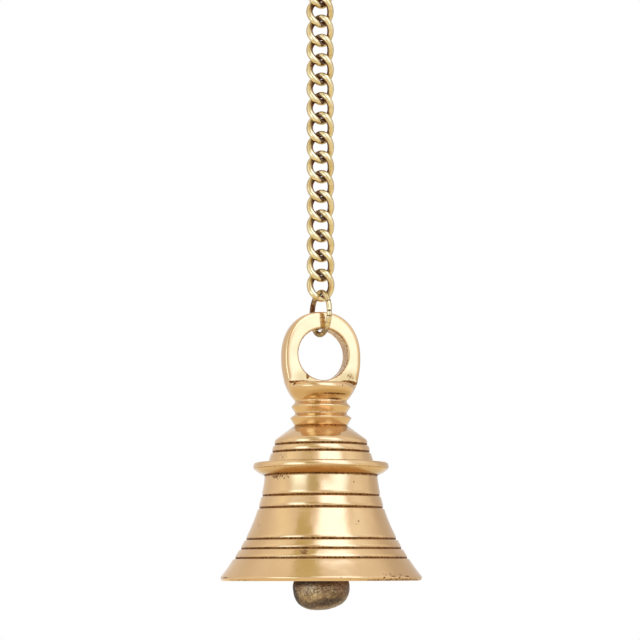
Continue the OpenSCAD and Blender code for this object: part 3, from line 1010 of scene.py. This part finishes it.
def place_group(tree, group, place, **values):
    """Places a group in a material, fed with the place and its own values; returns its first output."""
    node = add(tree, "ShaderNodeGroup", node_tree=group)
    wire(tree, place, node.inputs["Place"])
    for key, value in values.items():
        wire(tree, value, node.inputs[key])
    return node.outputs[0]


def new_material(name):
    material = bpy.data.materials.new(name)
    material.use_nodes = True
    return material, material.node_tree


def new_metal(name):
    material, tree = new_material(name)
    shader = tree.nodes["Principled BSDF"]
    wire(tree, 1.0, shader.inputs["Metallic"])
    place = add(tree, "ShaderNodeTexCoord").outputs["Object"]
    return material, tree, shader, place


def worn(tree, name):
    return add(tree, "ShaderNodeAttribute", attribute_name=name).outputs["Fac"]


def bump(tree, height, depth, normal=None):
    node = add(tree, "ShaderNodeBump")
    wire(tree, 1.0, node.inputs["Strength"])
    wire(tree, depth, node.inputs["Distance"])
    wire(tree, height, node.inputs["Height"])
    if normal is not None:
        wire(tree, normal, node.inputs["Normal"])
    return node.outputs["Normal"]


def dull_film(tree, shader, dirt_and_shade, share):
    """Makes the mark dull like an oxide: the brown film, and the painted shade where the mark holds it, hide
    this share of the metal's mirror.
    """
    hidden = maths(tree, "MULTIPLY", dirt_and_shade, share)
    wire(tree, maths(tree, "SUBTRACT", 1.0, hidden), shader.inputs["Metallic"])
    wire(tree, 0.02, shader.inputs["Specular IOR Level"])


def dress(tree, shader, colour, rough, normal):
    wire(tree, colour, shader.inputs["Base Color"])
    wire(tree, rough, shader.inputs["Roughness"])
    wire(tree, normal, shader.inputs["Normal"])


def polished_brass(groups):
    """Bell and loop: buffed brass with lathe rings, brown film in the grooves and a few casting pits."""
    material, tree, shader, place = new_metal("buffed_bell_brass")
    dirt_and_shade = place_group(tree, groups["grime_and_shade"], place, Mark=worn(tree, "dirt_and_shade"), Grain=0.0009)
    cast = worn(tree, "rough_cast")
    pits = place_group(tree, groups["pits"], place, Cell=0.0042, Share=0.06, Radius=0.1)
    cluster = place_group(tree, groups["pits"], place, Cell=0.0009, Share=worn(tree, "pitted"), Radius=0.42)
    pits = maths(tree, "MAXIMUM", pits, cluster)
    cloud = ramp(tree, noise(tree, place, 70.0, 3.0), 0.35, 0.7)
    colour = mix_colour(tree, cloud, BRASS, PALE_BRASS)
    mottle = ramp(tree, noise(tree, place, 600.0, 6.0, 0.7), 0.36, 0.68)
    skin = mix_colour(tree, mottle, CAST_SKIN, DARK_SKIN)
    colour = tint(tree, colour, cast, 0.8, skin)
    # Tarnished patches on the loop, and painted shade under the bell's flange.
    colour = mix_colour(tree, worn(tree, "tarnish_and_shade"), colour, TARNISH_AND_SHADE)
    colour = tint(tree, colour, pits, 0.85, PIT_BROWN)
    speck = ramp(tree, noise(tree, place, 1500.0, 2.0), 0.42, 0.6)
    brown = mix_colour(tree, speck, FILM_BROWN, FILM_SPECK)
    colour = mix_colour(tree, dirt_and_shade, colour, brown)
    dull_film(tree, shader, dirt_and_shade, 0.4)
    smear = ramp(tree, noise(tree, place, 160.0, 4.0), 0.4, 0.75)
    rough = plus(tree, 0.13, smear, 0.1)
    rough = plus(tree, rough, dirt_and_shade, 0.35)
    rough = plus(tree, rough, cast, 0.25, clamp=True)
    rings = place_group(tree, groups["lathe"], place, Spacing=0.00035)
    waves = place_group(tree, groups["waves"], place, Size=0.009)
    normal = bump(tree, waves, 0.00018)
    normal = bump(tree, rings, 0.000004, normal)
    holes = maths(tree, "SUBTRACT", 1.0, pits)
    dress(tree, shader, colour, rough, bump(tree, holes, 0.0002, normal))
    return material


def chain_brass(groups):
    """Links, ring and hook: drawn wire, uneven in tone, with brown film where the links cross, painted shade
    on the inner sides of the links and the back of the ring, and dark at the cut ends.
    """
    material, tree, shader, place = new_metal("drawn_wire_brass")
    dirt_and_shade = place_group(tree, groups["grime_and_shade"], place, Mark=worn(tree, "dirt_and_shade"), Grain=0.0012)
    cloud = noise(tree, place, 320.0, 4.0, 0.6)
    colour = mix_colour(tree, ramp(tree, cloud, 0.3, 0.7), WIRE_BRASS, PALE_WIRE)
    # Brown film, with painted shade on the inner sides of the links and the back of the ring.
    colour = mix_colour(tree, dirt_and_shade, colour, WIRE_FILM_AND_SHADE)
    colour = tint(tree, colour, worn(tree, "joint"), 0.8, WIRE_CUT)
    dull_film(tree, shader, dirt_and_shade, 1.0)
    # Seen along its surface, unpolished wire mirrors less than buffed brass
    wire(tree, WIRE_EDGE_TINT, shader.inputs["Specular Tint"])
    rough = plus(tree, 0.17, ramp(tree, cloud, 0.35, 0.8), 0.12)
    rough = plus(tree, rough, dirt_and_shade, 0.2, clamp=True)
    waves = place_group(tree, groups["waves"], place, Size=0.0016)
    dress(tree, shader, colour, rough, bump(tree, waves, 0.00005))
    return material


def fixing_brass(groups):
    """Washer, nut and eye bolt: dull machined brass that never sees the polishing wheel."""
    material, tree, shader, place = new_metal("machined_fixing_brass")
    dirt_and_shade = place_group(tree, groups["grime_and_shade"], place, Mark=worn(tree, "dirt_and_shade"), Grain=0.0015)
    cloud = noise(tree, place, 400.0, 3.0)
    colour = mix_colour(tree, ramp(tree, cloud, 0.3, 0.7), DULL_BRASS, PALE_DULL_BRASS)
    colour = tint(tree, colour, dirt_and_shade, 0.6, DULL_BRASS_FILM)
    rough = plus(tree, 0.3, cloud, 0.2, clamp=True)
    rings = place_group(tree, groups["lathe"], place, Spacing=0.0004)
    dress(tree, shader, colour, rough, bump(tree, rings, 0.00001))
    return material


def clapper_bronze(groups):
    """Rod and ball: dark sand-cast bronze, pitted all over, worn bright in places and dirty in others.

    The ball has a painted highlight on its front left and painted shade over its top.
    """
    material, tree, shader, place = new_metal("sand_cast_bronze")
    grain = noise(tree, place, 900.0, 5.0, 0.65)
    patch = noise(tree, place, 190.0, 3.0)
    dirt_and_shade = place_group(tree, groups["grime_and_shade"], place, Mark=worn(tree, "dirt_and_shade"), Grain=0.0008)
    pits = place_group(tree, groups["pits"], place, Cell=0.00075, Share=0.5, Radius=0.42)
    colour = mix_colour(tree, ramp(tree, patch, 0.35, 0.65), BRONZE, PALE_BRONZE)
    colour = mix_colour(tree, ramp(tree, grain, 0.52, 0.74), colour, BRONZE_GRAIN)
    # Bronze worn bright, with a painted highlight on the ball's front left.
    high = plus(tree, 0.25, ramp(tree, grain, 0.4, 0.62), 0.65)
    colour = tint(tree, colour, worn(tree, "rubbed_and_highlight"), high, RUBBED_AND_HIGHLIGHT_BRONZE)
    colour = tint(tree, colour, dirt_and_shade, 0.85, BRONZE_FILM_AND_SHADE)
    colour = tint(tree, colour, pits, 0.85, BRONZE_PIT)
    dull_film(tree, shader, dirt_and_shade, 0.9)
    rough = plus(tree, 0.22, grain, 0.22)
    rough = plus(tree, rough, pits, 0.2, clamp=True)
    normal = bump(tree, grain, 0.0002)
    normal = bump(tree, maths(tree, "SUBTRACT", 1.0, pits), 0.00015, normal)
    dress(tree, shader, colour, rough, normal)
    return material


def cover(obj, material):
    obj.data.materials.clear()
    obj.data.materials.append(material)


# Studio

FLOOR_Z = -0.42
FLOOR_R = 2.2
FLOOR_FADE = (0.3, 0.9)
FLOOR_COLOUR = (0.86, 0.83, 0.77)
WHITE = (1, 1, 1)
SCATTERED_LIGHT = (1, 0.985, 0.96)
SCATTERED_LEVEL = 0.55
BELL_AIM = Vector((0, 0, LIP_Z + 30 * MM))
PANEL_DISTANCE = 1.3
CAMERA_Y = -0.825
CAMERA_X = -0.00026
CAMERA_Z = LIP_Z + 2.6 * MM
CAMERA_PITCH = math.radians(6.9)
CAMERA_ROLL = math.radians(-0.13)
CAMERA_LENS = 118.1


def towards(azimuth, elevation, distance):
    """Point at this azimuth from the bell, to the photo's right of its front, and elevation, in degrees."""
    a, e = math.radians(azimuth), math.radians(elevation)
    return BELL_AIM + distance * Vector((math.sin(a) * math.cos(e), -math.cos(a) * math.cos(e), math.sin(e)))


def facing(place, roll):
    """Turn of a panel that faces the bell; its roll, in degrees, leans its top to the bell's right."""
    turn = (BELL_AIM - place).to_track_quat("-Z", "Y") @ Quaternion((0, 0, 1), math.radians(roll))
    return turn.to_euler()


def light_source(tree, kind, colour, strength=1):
    node = add(tree, kind)
    wire(tree, colour, node.inputs["Color"])
    wire(tree, strength, node.inputs["Strength"])
    return node


def mix_shaders(tree, factor, first, second, target):
    """Feeds the target with the second shader by the factor and the first for the rest."""
    node = add(tree, "ShaderNodeMixShader")
    wire(tree, factor, node.inputs[0])
    wire(tree, first.outputs[0], node.inputs[1])
    wire(tree, second.outputs[0], node.inputs[2])
    wire(tree, node.outputs[0], target)


def seen_ray(tree):
    """One for what the camera sees straight or by way of the brass, nought for scattered light."""
    path = add(tree, "ShaderNodeLightPath")
    seen = maths(tree, "MAXIMUM", path.outputs["Is Camera Ray"], path.outputs["Is Glossy Ray"])
    return maths(tree, "MAXIMUM", seen, path.outputs["Is Transmission Ray"])


def card(name, place, turn, half_size, colour, core, lights=False):
    """Soft-edged card that the brass reflects, brighter or darker than the white studio.

    It fades out from its core, a share of its half size, to its edges.
    """
    sheet = new_shape(name, bpy.ops.mesh.primitive_plane_add, size=2, location=place, rotation=turn)
    sheet.scale = (*half_size, 1)
    sheet.visible_camera = False
    sheet.visible_diffuse = lights
    sheet.visible_shadow = False
    material, tree = new_material(name)
    tree.nodes.clear()
    split = add(tree, "ShaderNodeSeparateXYZ")
    wire(tree, add(tree, "ShaderNodeTexCoord").outputs["Object"], split.inputs[0])
    across = ramp(tree, maths(tree, "ABSOLUTE", split.outputs[0]), 1.0, core)
    along = ramp(tree, maths(tree, "ABSOLUTE", split.outputs[1]), 1.0, core)
    clear = add(tree, "ShaderNodeBsdfTransparent")
    glow = light_source(tree, "ShaderNodeEmission", colour)
    surface = add(tree, "ShaderNodeOutputMaterial").inputs["Surface"]
    mix_shaders(tree, maths(tree, "MULTIPLY", across, along), clear, glow, surface)
    cover(sheet, material)


def panel(name, azimuth, elevation, size, colour, roll=0, core=0.0, lights=False):
    """Card that stands round the bell, as wide and tall as its size in degrees, seen from there."""
    place = towards(azimuth, elevation, PANEL_DISTANCE)
    half_size = [PANEL_DISTANCE * math.tan(math.radians(v / 2)) for v in size]
    card(name, place, facing(place, roll), half_size, colour, core, lights)


def white_world():
    """White to the camera and in the brass, a softer level as light."""
    world = bpy.data.worlds.new("white_studio")
    bpy.context.scene.world = world
    world.use_nodes = True
    tree = world.node_tree
    tree.nodes.clear()
    light = light_source(tree, "ShaderNodeBackground", SCATTERED_LIGHT, SCATTERED_LEVEL)
    white = light_source(tree, "ShaderNodeBackground", WHITE)
    mix_shaders(tree, seen_ray(tree), light, white, add(tree, "ShaderNodeOutputWorld").inputs["Surface"])


def pale_floor():
    """Round pale floor under the hanging bell; it fades into the white well away from it."""
    floor = new_shape(
        "floor", bpy.ops.mesh.primitive_circle_add, vertices=96, radius=FLOOR_R, fill_type="NGON"
    )
    floor.location.z = FLOOR_Z
    material, tree = new_material("pale_floor")
    shader = tree.nodes["Principled BSDF"]
    wire(tree, FLOOR_COLOUR, shader.inputs["Base Color"])
    wire(tree, 0.9, shader.inputs["Roughness"])
    wire(tree, 0.1, shader.inputs["Specular IOR Level"])
    place = add(tree, "ShaderNodeTexCoord").outputs["Object"]
    length = add(tree, "ShaderNodeVectorMath", operation="LENGTH")
    wire(tree, place, length.inputs[0])
    away = ramp(tree, length.outputs["Value"], *FLOOR_FADE)
    white = light_source(tree, "ShaderNodeEmission", WHITE)
    factor = maths(tree, "MULTIPLY", away, seen_ray(tree))
    mix_shaders(tree, factor, shader, white, tree.nodes["Material Output"].inputs["Surface"])
    cover(floor, material)


def photo_camera():
    deselect_all()
    bpy.ops.object.camera_add(location=(CAMERA_X, CAMERA_Y, CAMERA_Z))
    camera = bpy.context.object
    turn = Matrix.Rotation(math.pi / 2 + CAMERA_PITCH, 4, "X") @ Matrix.Rotation(CAMERA_ROLL, 4, "Z")
    camera.rotation_euler = turn.to_euler()
    camera.data.lens = CAMERA_LENS
    camera.data.sensor_width = 36
    bpy.context.scene.camera = camera


def build():
    groups = {"lathe": lathe_group(), "waves": waves_group(), "pits": pits_group(), "grime_and_shade": grime_and_shade_group()}
    finishes = {
        "polished_brass": polished_brass(groups),
        "chain_brass": chain_brass(groups),
        "fixing_brass": fixing_brass(groups),
        "clapper_bronze": clapper_bronze(groups),
    }
    rod = make_eyed_shank("forged_clapper_rod", ROD_R, ROD_END_Z, ROD_EYE_Z - EYE_MID_R, ROD_EYE_Z, 0)
    bolt = make_eyed_shank(
        "forged_eye_bolt", BOLT_R, BOLT_EYE_Z + EYE_MID_R, BOLT_TOP_Z, BOLT_EYE_Z, math.pi / 2
    )
    pieces = [
        (make_hook(), "hang_hook", "hook", "chain_brass"),
        (make_ring(), "jump_ring", "ring", "chain_brass"),
        (make_loop(), "crown_loop", "bell", "polished_brass"),
        (make_bell(), "bell_body", "bell", "polished_brass"),
        (make_washer(), "crown_washer", "bell", "fixing_brass"),
        (make_nut(), "lock_nut", "bell", "fixing_brass"),
        (bolt, "eye_bolt", "bell", "fixing_brass"),
        (rod, "clapper_rod", "clapper", "clapper_bronze"),
        (make_ball(), "clapper_ball", "clapper", "clapper_bronze"),
    ]
    for i, link in enumerate(make_chain(), start=1):
        pieces.append((link, f"chain_link_{i:02d}", f"link_{i:02d}", "chain_brass"))
    for piece, node, body, finish in pieces:
        cover(piece, finishes[finish])
        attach(piece, body)
        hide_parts(node)


build()
white_world()
pale_floor()
panel("key_panel", 23.6, 42, (58, 62), (2.05, 2.42, 3.3), core=0.45, lights=True)
panel("front_right_panel", 37, 10, (52, 40), (1.6, 2.2, 3.0), roll=10, core=0.1, lights=True)
panel("right_panel", 73, 37, (42, 70), (1.21, 1.29, 1.35), roll=25, lights=True)
panel("left_panel", -77, 35, (36, 76), (1.18, 1.21, 1.14), roll=-25, core=0.13, lights=True)
panel("left_lamp", -45, 0, (50, 62), (1.86, 2.6, 3.46), core=0.2, lights=True)
panel("olive_card", -34, 60, (27, 54), (0.73, 0.7, 0.44), core=0.62)
panel("low_olive_card", -17, 16, (28, 34), (0.66, 0.64, 0.43), core=0.45)
panel("top_panel", 0, 86, (26, 26), (1.35, 1.6, 1.95), core=0.3, lights=True)
panel("back_right_card", 142, 12, (80, 100), (0.72, 0.68, 0.65), core=0.3)
panel("back_left_card", -142, 12, (80, 100), (0.86, 0.83, 0.8), core=0.3)
card("gold_card", (0, 0.1, FLOOR_Z + 4 * MM), (0, 0, 0), (0.9, 0.9), (1.0, 0.92, 0.68), 0.5)
photo_camera()
bpy.context.scene.view_settings.view_transform = "Standard"
